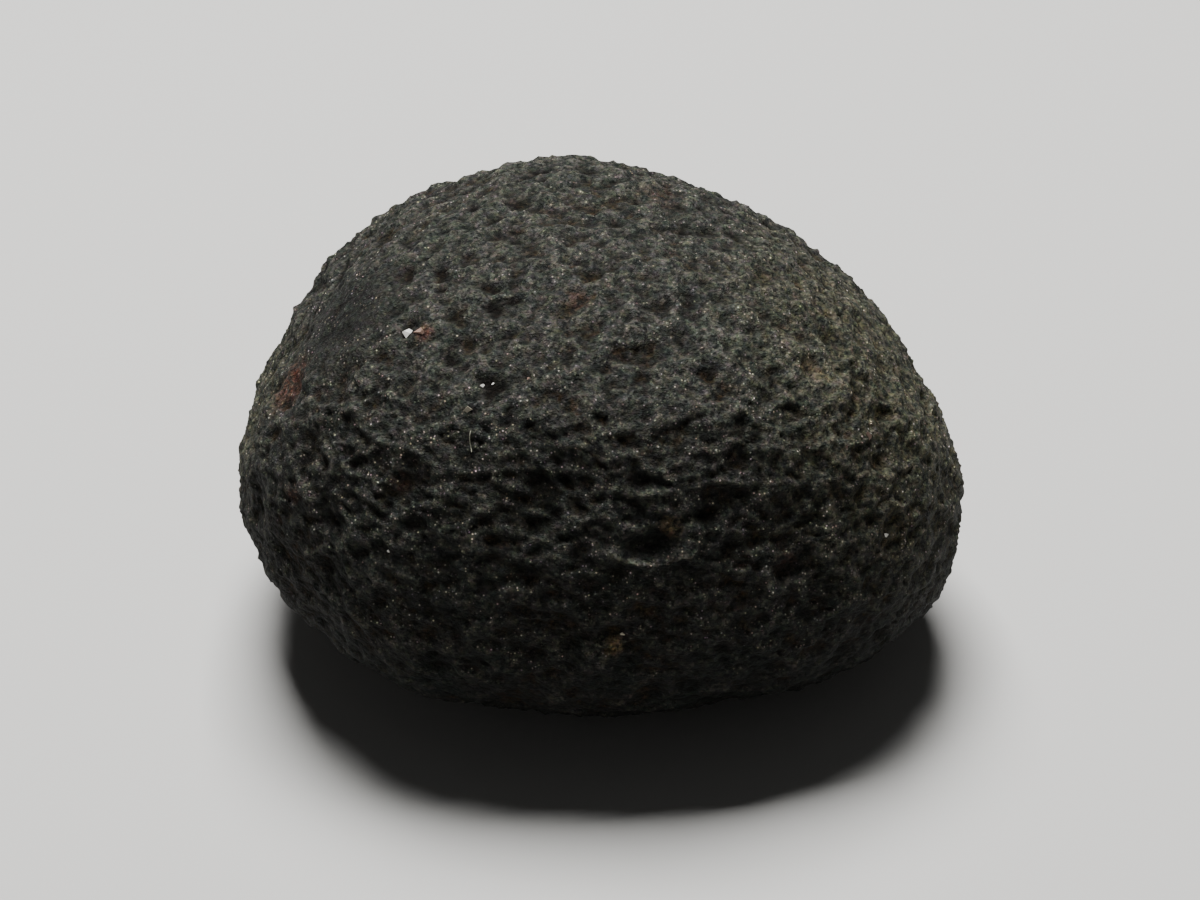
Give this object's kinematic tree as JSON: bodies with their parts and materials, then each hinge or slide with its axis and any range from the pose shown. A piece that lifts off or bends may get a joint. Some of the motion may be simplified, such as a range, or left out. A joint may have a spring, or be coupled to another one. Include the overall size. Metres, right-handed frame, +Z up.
{
  "type": "saffordite",
  "caption": "Rounded nodule of black volcanic glass with a satin skin of fine pits and wrinkles, resting on a small flat spot; a mineral specimen or touch stone.",
  "frame": {"origin": "middle of the stone's width and depth, on the surface it stands on", "axes": "+X to the right along the stone's longest extent, +Y to the back, +Z up along its shortest extent"},
  "size_m": [0.028, 0.0234, 0.0178],
  "materials": {
    "weathered_glass": "satin"
  },
  "bodies": {
    "root": {"stone": "weathered_glass"}
  },
  "joints": []
}
